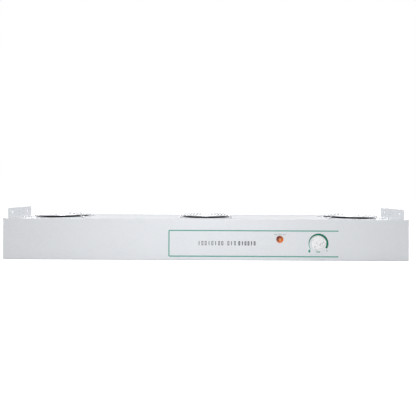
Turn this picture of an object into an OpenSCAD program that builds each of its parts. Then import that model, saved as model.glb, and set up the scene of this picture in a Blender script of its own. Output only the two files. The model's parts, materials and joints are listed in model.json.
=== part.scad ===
// Overhead ionizing air blower: a long sheet-metal housing with three axial fans.
// Each fan draws air in through a wire guard in the top panel and blows it down through a duct
// with a ring of emitter needles. X runs along the housing, -Y is the front, Z is up, and the
// origin is the centre of the underside.

/* [Housing] */
// Length of the housing
housing_l = 1100; // [1090:5:1300]
// Depth of the housing, front to back
housing_d = 180; // [178:1:220]
// Height of the housing, without its brackets
housing_h = 112; // [105:1:140]
// Thickness of the sheet metal
sheet = 1.2; // [1:0.1:1.5]
// Thickness of the end plates
end_plate = 1.5; // [1:0.5:2]
// Outside radius of the bends
bend_r = 2.5; // [2:0.5:4]
// Depth of the lips folded in along the covers
lip = 9; // [8:0.5:9]
// Height of the flanges folded up or down along the panels
flange = 14; // [10:1:18]

/* [Fans] */
// Distance from the outer fan frames to the ends of the housing
end_gap = 38; // [36:1:54]
// Distance from the fan frames to the front and the back of the housing
side_room = 15; // [14:0.5:20]
// How much longer the fan frame is along the housing than across it
frame_ears = 22; // [20:1:24]
// Depth of the fan frame along the air stream
frame_depth = 51; // [45:1:56]
// Wall of the fan frame round its bore
frame_wall = 2; // [1.5:0.5:3]
// Thickness of the fan frame's two flanges
frame_flange = 4; // [3:0.5:5]
// Distance from the fan screws to the ends of the frame
fan_hole_edge = 11; // [10:0.5:12]
// Distance between the fan screws across the housing
fan_hole_y = 84; // [80:1:88]
// Diameter of the fan screws
fan_screw = 4; // [3.5:0.5:4.5]

/* [Impellers] */
// Number of blades
blades = 7; // [5:1:9]
// Gap between the blade tips and the bore
tip_gap = 1.5; // [1:0.5:3]
// Diameter of the hub
hub_d = 72; // [70:1:76]
// Height of the hub
hub_h = 36; // [34:1:38]
// Thickness of a blade
blade_t = 1.6; // [1.2:0.1:2.2]
// Diameter of the fan shaft
fan_shaft_d = 6; // [5:0.5:8]

/* [Guards] */
// How far the guards' outer ring lies outside the bore
guard_overlap = 2; // [1.5:0.5:3]
// Diameter of the wire
wire = 2.2; // [1.8:0.1:2.6]
// Number of rings in a guard
guard_rings = 7; // [5:1:8]
// Height of the inlet guard's rings above the top panel
guard_rise = 9; // [7:0.5:11]

/* [Emitters] */
// Needles in each duct
needles = 8; // [6:1:12]
// Diameter of a needle
needle_d = 1.6; // [1.2:0.1:2.4]
// Length of a needle
needle_l = 26; // [22:1:30]
// Wall of the duct
duct_wall = 3; // [2.5:0.5:4]

/* [Brackets] */
// Distance from the brackets' ends to the front and the back of the housing
bracket_room = 34; // [28:1:38]
// Height of the bracket's upright leg above the top panel
bracket_h = 28; // [26:1:40]
// Length of the bracket's foot along the housing
bracket_foot = 40; // [39:1:42]
// Thickness of the bracket
bracket_t = 2; // [1.5:0.5:3]
// How far forward of the middle the brackets stand
bracket_forward = 12; // [0:1:14]
// Distance between the two hanging holes
hang_spacing = 75; // [60:1:80]
// Diameter of the hanging holes
hang_hole = 7; // [6:0.5:9]
// Height of the hanging holes above the top panel
hang_rise = 15; // [13:0.5:18]

/* [Controls] */
// Distance from the speed control to the right end
dial_from_end = 245; // [225:1:260]
// Height of the speed control
dial_z = 47; // [42:0.5:56]
// Diameter of the speed knob
knob_d = 41; // [36:1:48]
// How far the knob stands out from the front
knob_h = 18; // [15:0.5:22]
// Diameter of the potentiometer's shaft
pot_shaft_d = 6; // [5:0.5:6.5]
// Distance from the pilot lamp to the right end
lamp_from_end = 350; // [330:1:365]
// Height of the pilot lamp
lamp_z = 58; // [50:0.5:70]
// Diameter of the pilot lamp's lens
lamp_d = 19; // [17:0.5:24]

/* [Mains inlet] */
// Width of the socket that takes the plug
socket_w = 24.5; // [24:0.5:26]
// Height of the socket that takes the plug
socket_h = 16.5; // [16:0.5:18]
// Depth of the socket
socket_depth = 16.5; // [16:0.5:18]
// Height of the inlet's middle above the underside
inlet_z = 54; // [45:1:60]
// Width of the fuse drawer
drawer_w = 24; // [22:0.5:25]
// Height of the fuse drawer
drawer_h = 9; // [8.5:0.5:10]

/* [Electronics] */
// Length of the high-voltage supply
hv_l = 130; // [110:1:150]
// Width of the high-voltage supply
hv_w = 86; // [70:1:100]
// Height of the high-voltage supply
hv_h = 56; // [50:1:64]
// Length of the control board
board_l = 150; // [130:1:160]
// Width of the control board
board_w = 90; // [80:1:100]
// Height of the standoffs under the control board
standoff = 8; // [6:1:12]

/* [Hidden] */
$fn = 48;

eps = 0.01;
running = 0.05;   // radial clearance of a shaft in its bearing
fit = 0.2;        // clearance between panels that slip together
half_l = housing_l / 2;
half_d = housing_d / 2;
frame_w = housing_d - 2 * side_room;            // fan frame across the housing
frame_l = frame_w + frame_ears;                 // fan frame along the housing
fan_bore = frame_w - 2 * frame_wall;            // bore of the frames, inlets and ducts
fan_pitch = half_l - end_gap - frame_l / 2;
fan_hole_x = frame_l - 2 * fan_hole_edge;
guard_d = fan_bore + 2 * guard_overlap;
bracket_l = housing_d - 2 * bracket_room;
dial_x = half_l - dial_from_end;
lamp_x = half_l - lamp_from_end;
panel_top = housing_h - sheet;      // upper face of the top panel, under the covers' lips
panel_under = panel_top - sheet;    // lower face of the top panel
frame_base = panel_under - frame_depth;
panel_half_d = half_d - sheet - fit;
panel_half_l = half_l - end_plate;
step_y = half_d - lip - fit;        // where the bottom plate steps up over the covers' lips
bore_r = fan_bore / 2;
shaft_r = fan_shaft_d / 2;
white = [0.93, 0.94, 0.96];
chrome = [0.80, 0.81, 0.83];
zinc = [0.72, 0.73, 0.75];
black = [0.12, 0.12, 0.13];
brass = [0.80, 0.66, 0.34];

// ---------------------------------------------------------------- helpers

// Round bar between two points
module rod(from, to, r) {
    way = to - from;
    translate(from)
        rotate([0, acos(way[2] / norm(way)), atan2(way[1], way[0])])
            cylinder(h = norm(way), r = r);
}

// Insulated lead through a list of points, with rounded corners
bend_swell = 1.05;   // a bend is a touch thicker than the straight wire
module lead(points, d) {
    for (i = [0:len(points) - 2]) rod(points[i], points[i + 1], d / 2);
    for (i = [1:len(points) - 2]) translate(points[i]) sphere(d = d * bend_swell);
}

// A ring of round wire about Z
module wire_ring(ring_r, wire_r) {
    rotate_extrude() translate([ring_r, 0]) circle(r = wire_r, $fn = 16);
}

// Lays a drawing in the YZ plane and extrudes it along X, centred
module along_x(length) {
    rotate([90, 0, 90]) linear_extrude(length, center = true) children();
}

// Children at the left, centre and right fan, or at the one with this index
module at_fans(which = [-1, 0, 1]) {
    for (i = which) translate([i * fan_pitch, 0, 0]) children();
}

// Children at the four screw places of one fan
module at_fan_screws() {
    for (x = [-1, 1], y = [-1, 1]) translate([x * fan_hole_x / 2, y * fan_hole_y / 2, 0]) children();
}

// Pan-head screw pointing down from z = 0, its head on top
module pan_screw(d, length) {
    rotate_extrude() polygon([[0, d * 0.6], [d * 0.55, d * 0.6], [d * 0.9, d * 0.38], [d, 0],
        [d / 2, 0], [d / 2, -length], [0, -length]]);
}

// Countersunk screw pointing down, its flat head flush with z = 0
head_rim = 0.2;
module flat_screw(d, length) {
    head_r = d * 0.8;
    rotate_extrude() polygon([[0, 0], [head_r, 0], [head_r, -head_rim],
        [d / 2, -(head_r - d / 2) - head_rim], [d / 2, -length], [0, -length]]);
}

// Space for a countersunk screw in a sheet whose face is at z = 0
module flat_screw_hole(d, depth) {
    head_r = d * 0.8;
    rotate_extrude() polygon([[0, eps], [head_r, eps], [head_r, -head_rim],
        [d / 2, -(head_r - d / 2) - head_rim], [d / 2, -depth], [0, -depth]]);
}

// Hexagonal nut with its lower face at z = 0
module hex_nut(across, thick, hole) {
    difference() {
        cylinder(h = thick, r = across / sqrt(3), $fn = 6);
        translate([0, 0, -eps]) cylinder(h = thick + 2 * eps, d = hole);
    }
}

// ---------------------------------------------------------------- housing

// Outline of a bent strip's corner: a quarter ring in the first quadrant
module bend_corner() {
    intersection() {
        difference() {
            circle(r = bend_r);
            circle(r = bend_r - sheet);
        }
        square(bend_r);
    }
}

// Section of a cover in the YZ plane, with its wall on +Y
module cover_section() {
    translate([half_d - sheet, bend_r]) square([sheet, housing_h - 2 * bend_r]);
    for (end = [[housing_h - sheet, housing_h - bend_r, 0], [0, bend_r, 1]]) {
        translate([half_d - lip, end[0]]) square([lip - bend_r, sheet]);
        translate([half_d - bend_r, end[1]]) mirror([0, end[2]]) bend_corner();
    }
}

// Screws through the covers' lips, between the fans, at the top and at the bottom
cover_screw_d = 3;
cover_screw_y = half_d - lip / 2 - 1;
module at_cover_screws() {
    for (x = [-1, 1], y = [-1, 1]) translate([x * fan_pitch / 2, y * cover_screw_y, 0]) {
        translate([0, 0, housing_h]) children();
        mirror([0, 0, 1]) children();
    }
}

// End flanges: where the end plates are screwed on, as [y, z] of the screws
end_screw_d = 4;
end_flange_w = 16;
end_screw_y = half_d - sheet - end_flange_w / 2;
end_screw_z = [housing_h * 0.25, housing_h * 0.75];
end_screw_mid_y = housing_d * 0.22;
module at_end_screws(side) {
    for (y = [-end_screw_y, end_screw_y], z = end_screw_z)
        translate([side * half_l, y, z]) rotate([0, side * 90, 0]) children();
    for (y = [-end_screw_mid_y, end_screw_mid_y], z = [flange / 2 + 2, panel_top - flange / 2])
        translate([side * half_l, y, z]) rotate([0, side * 90, 0]) children();
}

// One long cover: wall, two lips and a flange at each end for the end plate
module cover() {
    difference() {
        union() {
            along_x(housing_l) cover_section();
            for (side = [-1, 1])
                translate([side * (panel_half_l - sheet / 2), half_d - sheet - end_flange_w / 2,
                    housing_h / 2])
                    cube([sheet, end_flange_w + eps, housing_h - 2 * flange - 8], center = true);
        }
        // The end plates stand between the covers, through the lower lips
        for (side = [-1, 1])
            translate([side * (half_l - end_plate / 2), half_d - sheet - lip / 2, sheet / 2])
                cube([end_plate + 2 * fit, lip, sheet + 2 * eps], center = true);
        at_cover_screws() flat_screw_hole(cover_screw_d, sheet + 1);
        for (side = [-1, 1]) at_end_screws(side) translate([0, 0, -end_plate - sheet - 1])
            cylinder(h = end_plate + sheet + 1, d = end_screw_d);
    }
}

module rear_cover() { color(white) cover(); }

module front_cover() {
    color(white) difference() {
        mirror([0, 1, 0]) cover();
        translate([dial_x, -half_d - 1, dial_z]) rotate([-90, 0, 0])
            cylinder(h = sheet + 2, r = bush_r + fit);
        translate([lamp_x, -half_d - 1, lamp_z]) rotate([-90, 0, 0])
            cylinder(h = sheet + 2, r = lamp_body_r + fit);
    }
}

// Flat panel with a flange along each side, its outer face at z = 0 and its flanges upward
module flanged_panel(half_y, half_x) {
    along_x(2 * half_x) {
        translate([-(half_y - bend_r), 0]) square([2 * (half_y - bend_r), sheet]);
        for (side = [0, 1]) mirror([side, 0]) {
            translate([half_y - sheet, bend_r]) square([sheet, flange - bend_r]);
            translate([half_y - bend_r, bend_r]) mirror([0, 1]) bend_corner();
        }
    }
    for (side = [-1, 1])
        translate([side * (half_x - sheet / 2), 0, flange / 2])
            cube([sheet, 2 * (half_y - bend_r), flange], center = true);
}

module top_panel() {
    color(white) difference() {
        translate([0, 0, panel_top]) mirror([0, 0, 1]) flanged_panel(panel_half_d, panel_half_l);
        at_fans() {
            translate([0, 0, panel_under - 1]) cylinder(h = sheet + 2, d = fan_bore);
            at_fan_screws() translate([0, 0, panel_under - 1])
                cylinder(h = sheet + 2, d = fan_screw);
        }
        at_cover_screws() flat_screw_hole(cover_screw_d, 3 * sheet);
        at_bracket_screws() translate([0, 0, panel_under - 1])
            cylinder(h = sheet + 2, d = bracket_screw_d);
        for (side = [-1, 1]) at_end_screws(side) translate([0, 0, -end_plate - sheet - 1])
            cylinder(h = end_plate + sheet + 1, d = end_screw_d);
    }
}

// The bottom plate is flush with the covers' lips and steps up to lie on them
module bottom_section() {
    rise = sheet + 0.05;
    translate([-step_y, 0]) square([2 * step_y, sheet]);
    for (side = [0, 1]) mirror([side, 0]) {
        translate([step_y - sheet, 0]) square([sheet, rise + sheet]);
        translate([step_y - sheet, rise])
            square([panel_half_d - bend_r - step_y + sheet, sheet]);
        translate([panel_half_d - sheet, rise + bend_r]) square([sheet, flange - bend_r]);
        translate([panel_half_d - bend_r, rise + bend_r]) mirror([0, 1]) bend_corner();
    }
}

module bottom_plate() {
    color(white) difference() {
        union() {
            along_x(2 * panel_half_l) bottom_section();
            for (side = [-1, 1])
                translate([side * (panel_half_l - sheet / 2), 0, flange / 2 + sheet])
                    cube([sheet, 2 * (panel_half_d - sheet - end_flange_w), flange + 2], center = true);
        }
        at_fans() {
            translate([0, 0, -1]) cylinder(h = sheet + 2, d = fan_bore);
            at_fan_screws() mirror([0, 0, 1]) flat_screw_hole(fan_screw, sheet + 1);
        }
        at_cover_screws() flat_screw_hole(cover_screw_d, 4 * sheet);
        at_hv_screws() translate([0, 0, -1]) cylinder(h = sheet + 2, d = hv_screw_d);
        at_standoffs() mirror([0, 0, 1]) flat_screw_hole(board_screw_d, sheet + 1);
        for (side = [-1, 1]) at_end_screws(side) translate([0, 0, -end_plate - sheet - 1])
            cylinder(h = end_plate + sheet + 1, d = end_screw_d);
    }
}

// End plate between the covers, under the end of their top lips
module end_plate_blank(side) {
    corner = 3;
    difference() {
        translate([side * (half_l - end_plate / 2), 0, 0]) along_x(end_plate)
            difference() {
                translate([-panel_half_d, 0]) square([2 * panel_half_d, panel_top - fit]);
                for (s = [-1, 1]) translate([s * panel_half_d, 0]) rotate(45)
                    square(corner * sqrt(2), center = true);
            }
        at_end_screws(side) translate([0, 0, -end_plate - 1])
            cylinder(h = end_plate + 2, d = end_screw_d);
    }
}

module end_plate_left() { color(white) end_plate_blank(-1); }

module end_plate_right() {
    color(white) difference() {
        end_plate_blank(1);
        translate([half_l - end_plate / 2, 0, inlet_z])
            cube([end_plate + 2, inlet_body_w + 2 * fit, inlet_body_h + 2 * fit], center = true);
        for (y = [-1, 1]) translate([half_l - end_plate - 1, y * inlet_screw_y, inlet_z])
            rotate([0, 90, 0]) cylinder(h = end_plate + 2, d = inlet_screw_d);
        translate([half_l - end_plate - 1, earth_y, earth_z]) rotate([0, 90, 0])
            cylinder(h = end_plate + 2, d = earth_d);
    }
}

module end_screws() {
    color(zinc) for (side = [-1, 1]) at_end_screws(side)
        pan_screw(end_screw_d, end_plate + sheet + 3);
}

module cover_screws() { color(white) at_cover_screws() flat_screw(cover_screw_d, 3.2 * sheet); }

// ---------------------------------------------------------------- brackets

bracket_screw_d = 4;
bracket_bend = bracket_t + 1;
bracket_screw_x = half_l - bracket_foot * 0.85;
bracket_screw_y = bracket_l / 2 - 20;
module at_bracket_screws() {
    for (x = [-1, 1], y = [-1, 1])
        translate([x * bracket_screw_x, y * bracket_screw_y - bracket_forward, 0]) children();
}

// L-shaped bracket: its foot lies on the top panel, its upright leg stands at the housing's end
module bracket(side) {
    color(white) difference() {
        translate([side * half_l, -bracket_forward, panel_top]) mirror([side > 0 ? 1 : 0, 0, 0])
            intersection() {
                rotate([90, 0, 0]) linear_extrude(bracket_l, center = true) {
                    translate([bracket_bend, 0]) square([bracket_foot - bracket_bend, bracket_t]);
                    translate([0, bracket_bend]) square([bracket_t, bracket_h - bracket_bend]);
                    translate([bracket_bend, bracket_bend]) rotate(180) intersection() {
                        difference() {
                            circle(r = bracket_bend);
                            circle(r = bracket_bend - bracket_t);
                        }
                        square(bracket_bend);
                    }
                }
                rounded_ends();
            }
        translate([0, -bracket_forward, panel_top]) {
            for (y = [-1, 1]) translate([side * half_l, y * hang_spacing / 2, hang_rise])
                rotate([0, 90, 0]) cylinder(h = 3 * bracket_t, d = hang_hole, center = true);
            for (place = [[-6, hang_rise], [9, hang_rise - 4]])
                translate([side * half_l, place[0], place[1]])
                    rotate([0, 90, 0]) cylinder(h = 3 * bracket_t, d = 3.5, center = true);
        }
        at_bracket_screws() translate([0, 0, panel_top - 1])
            cylinder(h = bracket_t + 2, d = bracket_screw_d);
    }
}

// Envelope that rounds the corners of the bracket's two legs
module rounded_ends() {
    corner = 4;
    intersection() {
        translate([0, 0, -1]) linear_extrude(bracket_h + 2)
            rounded_box_2d(bracket_foot, bracket_l, corner, [-bracket_foot, 0]);
        rotate([90, 0, 90]) translate([0, 0, -1]) linear_extrude(bracket_foot + 2)
            rotate(90) rounded_box_2d(bracket_h, bracket_l, corner, [-bracket_h, 0]);
    }
}

// Rectangle from x = 0 to the given length whose far corners are round; its near side runs on
module rounded_box_2d(length, width, corner, run_on) {
    translate([run_on[0], -width / 2]) square([length - corner - run_on[0], width]);
    translate([length - corner - eps, -width / 2 + corner])
        square([corner + eps, width - 2 * corner]);
    for (y = [-1, 1]) translate([length - corner, y * (width / 2 - corner)]) circle(r = corner);
}

module bracket_left() { bracket(-1); }
module bracket_right() { bracket(1); }

module bracket_screws() {
    color(zinc) at_bracket_screws() {
        translate([0, 0, panel_top + bracket_t])
            pan_screw(bracket_screw_d, bracket_t + sheet + 4.5);
        translate([0, 0, panel_under - 3.2]) hex_nut(7, 3.2, bracket_screw_d);
    }
}

// ---------------------------------------------------------------- guards

wire_r = wire / 2;
ear_r = fan_screw / 2 + wire_r + 0.15;      // radius of the ear's eye, to the middle of the wire
weld = 1.6 * wire_r;                        // ribs and rings sink a little into each other
fan_screw_angle = atan2(fan_hole_y, fan_hole_x);
fan_screw_radius = norm([fan_hole_x, fan_hole_y]) / 2;

// Wire guard: rings across four ribs that end in an ear. The ears lie on z = 0 and the rings
// are at ring_z; the ribs run under the rings, and slope down to the ears where there is a rise.
module wire_guard(ring_z, wire_r = wire_r) {
    rib_z = ring_z - weld;
    ring_r = guard_d / 2 - wire_r;
    inner_r = 14;
    color(chrome) {
        for (i = [0:guard_rings - 1])
            translate([0, 0, ring_z])
                wire_ring(inner_r + i * (ring_r - inner_r) / (guard_rings - 1), wire_r);
        for (side = [0, 180], turn = [-1, 1]) rotate(side + turn * fan_screw_angle) {
            knee = [ring_r + 0.5, 0, rib_z];
            toe = [fan_screw_radius - fan_screw - wire, 0, wire_r];
            rod([inner_r - 1, 0, rib_z], knee, wire_r);
            rod(knee, toe, wire_r);
            rod(toe, [fan_screw_radius - ear_r, 0, wire_r], wire_r);
            for (bend = [knee, toe]) translate(bend) sphere(r = wire_r * bend_swell);
            translate([fan_screw_radius, 0, wire_r]) wire_ring(ear_r, wire_r);
        }
    }
}

module inlet_guard(i) { at_fans([i]) translate([0, 0, panel_top]) wire_guard(guard_rise - wire_r); }
module inlet_guard_left() { inlet_guard(-1); }
module inlet_guard_centre() { inlet_guard(0); }
module inlet_guard_right() { inlet_guard(1); }

outlet_ring_z = wire_r + weld;
outlet_guard_top = sheet + outlet_ring_z + wire_r;
module outlet_guard(i) { at_fans([i]) translate([0, 0, sheet]) wire_guard(outlet_ring_z); }
module outlet_guard_left() { outlet_guard(-1); }
module outlet_guard_centre() { outlet_guard(0); }
module outlet_guard_right() { outlet_guard(1); }

// Screws through the inlet guard's ears, the top panel and the fan frame's upper flange
guard_screw_l = wire + sheet + frame_flange + 5;
module guard_screws() {
    color(zinc) at_fans() at_fan_screws() translate([0, 0, panel_top + wire])
        pan_screw(fan_screw, guard_screw_l);
}
module guard_nuts() {
    color(zinc) at_fans() at_fan_screws()
        translate([0, 0, panel_under - frame_flange - 3.2]) hex_nut(7, 3.2, fan_screw);
}

// ---------------------------------------------------------------- fans

lobe_r = fan_hole_edge - 1;
motor_r = 30;
motor_plate = 3.5;
strut_w = 6;
strut_h = 6;
mains_lead_d = 3;
motor_lead_y = (strut_w + mains_lead_d) / 2;    // the motor's lead runs beside a strut
motor_lead_z = 2;

// Plan of the fan frame's flanges: round, flat at the ends, with four rounded lobes
module frame_plan() {
    intersection() {
        union() {
            circle(d = frame_w);
            square([frame_l, fan_hole_y], center = true);
            at_fan_screws() circle(r = lobe_r);
        }
        square([frame_l, frame_w + 2], center = true);
    }
}

// Die-cast frame: two flanges, a round wall, and four struts that carry the motor plate
module fan_frame(i) {
    color(black) at_fans([i]) translate([0, 0, frame_base]) {
        difference() {
            union() {
                linear_extrude(frame_flange) frame_plan();
                cylinder(h = frame_depth, d = frame_w - 1);
                translate([0, 0, frame_depth - frame_flange]) linear_extrude(frame_flange)
                    frame_plan();
            }
            translate([0, 0, -1]) cylinder(h = frame_depth + 2, r = bore_r);
            at_fan_screws() translate([0, 0, -1]) cylinder(h = frame_depth + 2, d = fan_screw);
            for (side = [0, 1]) mirror([side, 0, 0]) rotate(45)
                translate([bore_r - 4, motor_lead_y, motor_lead_z]) rotate([0, 90, 0])
                    cylinder(h = frame_wall + 8, d = mains_lead_d + 0.4);
        }
        difference() {
            union() {
                cylinder(h = motor_plate, r = motor_r);
                for (a = [45:90:315]) rotate(a) translate([motor_r - 2, -strut_w / 2, 0])
                    cube([bore_r - motor_r + 2.5, strut_w, strut_h]);
            }
            translate([0, 0, -1]) cylinder(h = motor_plate + 4, r = tube_r);
        }
    }
}
module fan_frame_left() { fan_frame(-1); }
module fan_frame_centre() { fan_frame(0); }
module fan_frame_right() { fan_frame(1); }

// Motor: bearing tube pressed into the motor plate, laminated stator and its windings
tube_r = 10;
bearing_r = 8;
tube_h = 38;
stator_r = 31;
stator_z = 14;
stator_h = 13;
winding_h = 5;
module fan_stator(i) {
    slots = 8;
    at_fans([i]) translate([0, 0, frame_base]) {
        color(zinc) difference() {
            union() {
                cylinder(h = tube_h, r = tube_r);
                translate([0, 0, stator_z]) cylinder(h = stator_h, r = stator_r);
            }
            translate([0, 0, 1.5]) cylinder(h = tube_h, r = bearing_r);
            for (k = [0:slots - 1]) rotate((k + 0.5) * 360 / slots)
                translate([stator_r - 7, -1.5, stator_z - 1]) cube([8, 3, stator_h + 2]);
        }
        color(brass) for (z = [stator_z - winding_h, stator_z + stator_h])
            translate([0, 0, z]) difference() {
                cylinder(h = winding_h, r = stator_r - 5);
                translate([0, 0, -1]) cylinder(h = winding_h + 2, r = tube_r + 3);
            }
    }
}
module fan_stator_left() { fan_stator(-1); }
module fan_stator_centre() { fan_stator(0); }
module fan_stator_right() { fan_stator(1); }

bearing_h = 7;
bearing_z = [3.5, tube_h - bearing_h - 1.5];
module fan_bearings() {
    color(zinc) at_fans() for (z = bearing_z) translate([0, 0, frame_base + z])
        difference() {
            cylinder(h = bearing_h, r = bearing_r);
            translate([0, 0, -1]) cylinder(h = bearing_h + 2, r = shaft_r + running);
        }
}

// Impeller: a cup over the motor with swept, cambered blades
hub_top = frame_depth - 4;
cup_wall = 2.5;
boss_h = hub_top - tube_h - 1;
blade_sweep = 62;        // radius of the arcs that bound a blade's plan
blade_camber = 58;       // radius of the cambered sheet
blade_pitch = 34;        // slope of the blade
blade_h = 30;

// Plan of one blade between two arcs, so that its edges sweep forward towards the tip
module blade_plan() {
    difference() {
        intersection() {
            circle(r = bore_r - tip_gap);
            translate([bore_r * 0.55, -blade_sweep + 15]) circle(r = blade_sweep);
            translate([0, -bore_r]) square(2 * bore_r);
        }
        translate([bore_r * 0.62, -blade_sweep - 13]) circle(r = blade_sweep);
        circle(r = hub_d / 2 - 1);
    }
}

// One blade: the plan cut from a cambered sheet whose axis runs outwards from the hub
module blade() {
    intersection() {
        translate([0, 0, -blade_h / 2]) linear_extrude(blade_h) blade_plan();
        rotate([blade_pitch, 0, 0]) rotate([0, 8, 0]) translate([0, 0, -blade_camber])
            rotate([0, 90, 0]) difference() {
                cylinder(h = bore_r, r = blade_camber + blade_t / 2);
                translate([0, 0, -1]) cylinder(h = bore_r + 2, r = blade_camber - blade_t / 2);
            }
    }
}

module impeller(i) {
    color(black) at_fans([i]) translate([0, 0, frame_base]) {
        difference() {
            translate([0, 0, hub_top - hub_h]) rotate_extrude() polygon([[0, 0], [hub_d / 2, 0],
                [hub_d / 2, hub_h - 3], [hub_d / 2 - 3, hub_h], [0, hub_h]]);
            translate([0, 0, hub_top - hub_h - 1])
                cylinder(h = hub_h + 1 - cup_wall, r = hub_d / 2 - cup_wall);
            translate([0, 0, hub_top - hub_h - 1]) cylinder(h = hub_h + 2, r = shaft_r);
        }
        translate([0, 0, hub_top - boss_h]) difference() {
            cylinder(h = boss_h - 1, r = 7);
            translate([0, 0, -1]) cylinder(h = boss_h + 2, r = shaft_r);
        }
        for (k = [0:blades - 1]) rotate(k * 360 / blades)
            translate([0, 0, hub_top - blade_h / 2 - 1]) blade();
    }
}
module impeller_left() { impeller(-1); }
module impeller_centre() { impeller(0); }
module impeller_right() { impeller(1); }

module fan_shaft(i) {
    color(zinc) at_fans([i]) translate([0, 0, frame_base + 2.5])
        cylinder(h = hub_top - 2.5, r = shaft_r);
}
module fan_shaft_left() { fan_shaft(-1); }
module fan_shaft_centre() { fan_shaft(0); }
module fan_shaft_right() { fan_shaft(1); }

// ---------------------------------------------------------------- emitters

duct_r = bore_r + duct_wall;
duct_z = outlet_guard_top + 0.3;
duct_h = frame_base - duct_z;
needle_z = duct_z + duct_h * 0.72;
socket_out = duct_r + 4;
foot_h = duct_h * 0.45;

// Insulating duct from the fan frame down to the outlet guard, with a socket for each needle
module ion_duct(i) {
    color([0.88, 0.88, 0.86]) at_fans([i]) difference() {
        union() {
            translate([0, 0, duct_z]) cylinder(h = duct_h, r = duct_r);
            for (k = [0:needles - 1]) rotate((k + 0.5) * 360 / needles)
                translate([bore_r + 1, 0, needle_z]) rotate([0, 90, 0])
                    cylinder(h = socket_out - bore_r - 1, r = 3.5);
            at_fan_screws() translate([0, 0, sheet + wire]) cylinder(h = foot_h, r = lobe_r - 2);
            for (side = [0, 180], turn = [-1, 1]) rotate(side + turn * fan_screw_angle)
                translate([bore_r + 1, -3.5, duct_z + 1])
                    cube([fan_screw_radius - bore_r - fan_screw, 7, foot_h - 4]);
        }
        translate([0, 0, sheet]) cylinder(h = duct_h + duct_z + 1, r = bore_r);
        at_fan_screws() cylinder(h = duct_screw_l, d = fan_screw);
        for (k = [0:needles - 1]) rotate((k + 0.5) * 360 / needles)
            translate([bore_r - 2, 0, needle_z]) rotate([0, 90, 0])
                cylinder(h = socket_out, d = needle_d);
    }
}
module ion_duct_left() { ion_duct(-1); }
module ion_duct_centre() { ion_duct(0); }
module ion_duct_right() { ion_duct(1); }

module emitter_needles() {
    point = 5;
    color(zinc) at_fans() for (k = [0:needles - 1]) rotate((k + 0.5) * 360 / needles)
        translate([socket_out, 0, needle_z]) rotate([0, -90, 0]) rotate_extrude()
            polygon([[0, 0], [needle_d / 2, 0], [needle_d / 2, needle_l - point], [0, needle_l]]);
}

// High-voltage lead round each duct, against the tails of the needles
hv_lead_d = 2.6;
ring_lead_r = socket_out + hv_lead_d / 2;
module hv_ring_leads() {
    color([0.75, 0.12, 0.10]) at_fans() translate([0, 0, needle_z])
        wire_ring(ring_lead_r, hv_lead_d / 2);
}

duct_screw_l = 16;
module duct_screws() {
    color(zinc) at_fans() at_fan_screws() mirror([0, 0, 1]) flat_screw(fan_screw, duct_screw_l);
}

// ---------------------------------------------------------------- electronics

hv_x = -fan_pitch / 2;
hv_screw_d = 4;
hv_lug = 12;
lug_h = 4;
hv_post_h = 8;
hv_post_depth = 3;      // how deep a lead sits in its post
module at_hv_screws() {
    for (x = [-1, 1], y = [-1, 1])
        translate([hv_x + x * (hv_l / 2 - 10), y * (hv_w / 2 + hv_lug / 2), 0]) children();
}
// Potted transformer block with four lugs and three output terminals
hv_out_x = [-30, 0, 30];
hv_top = sheet + hv_h + hv_post_h;
module hv_supply() {
    corner = 6;
    color(black) difference() {
        union() {
            translate([hv_x, 0, sheet]) linear_extrude(hv_h) union() {
                square([hv_l - 2 * corner, hv_w], center = true);
                square([hv_l, hv_w - 2 * corner], center = true);
                for (x = [-1, 1], y = [-1, 1])
                    translate([x * (hv_l / 2 - corner), y * (hv_w / 2 - corner)])
                        circle(r = corner);
            }
            at_hv_screws() translate([0, 0, sheet]) {
                cylinder(h = lug_h, r = hv_lug / 2);
            }
            for (x = [-1, 1])
                translate([hv_x + x * (hv_l / 2 - 10) - hv_lug / 2, -hv_w / 2 - hv_lug / 2, sheet])
                    cube([hv_lug, hv_w + hv_lug, lug_h]);
            for (x = hv_out_x) translate([hv_x + x, 0, sheet + hv_h])
                cylinder(h = hv_post_h, r = 5);
        }
        at_hv_screws() cylinder(h = sheet + lug_h + 1, d = hv_screw_d);
        for (x = hv_out_x) translate([hv_x + x, 0, hv_top - hv_post_depth])
            cylinder(h = hv_post_depth + 1, d = hv_lead_d);
    }
}
module hv_supply_screws() {
    color(zinc) at_hv_screws() translate([0, 0, sheet + lug_h])
        pan_screw(hv_screw_d, sheet + lug_h - 0.2);
}

// Leads from the supply's posts to the ring round each duct; the right one runs along the front
hv_lead_y = half_d - 30;
module hv_leads() {
    start = hv_top - hv_post_depth;
    over = hv_top + 6;
    reach = sqrt(pow(ring_lead_r, 2) - pow(hv_lead_y, 2));
    front_y = -half_d + 5;
    front_z = needle_z - 10;
    left_x = hv_x + hv_out_x[0];
    right_x = hv_x + hv_out_x[2];
    turn_x = fan_pitch / 2 + 40;        // where the right lead comes back from the front
    color([0.75, 0.12, 0.10]) {
        lead([[left_x, 0, start], [left_x, 0, over], [left_x, hv_lead_y, over],
            [left_x, hv_lead_y, needle_z], [-fan_pitch + reach, hv_lead_y, needle_z]], hv_lead_d);
        lead([[hv_x, 0, start], [hv_x, 0, over], [hv_x, hv_lead_y, over],
            [hv_x, hv_lead_y, needle_z], [-reach, hv_lead_y, needle_z]], hv_lead_d);
        lead([[right_x, 0, start], [right_x, 0, over], [right_x, front_y, over],
            [right_x, front_y, front_z], [turn_x, front_y, front_z],
            [turn_x, front_y, needle_z], [turn_x, -hv_lead_y, needle_z],
            [fan_pitch - reach, -hv_lead_y, needle_z]], hv_lead_d);
    }
}

board_x = fan_pitch / 2;
board_t = 1.6;
board_z = sheet + standoff;
board_screw_d = 3;
board_top = board_z + board_t;
module at_standoffs() {
    for (x = [-1, 1], y = [-1, 1])
        translate([board_x + x * (board_l / 2 - 6), y * (board_w / 2 - 6), 0]) children();
}
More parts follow.
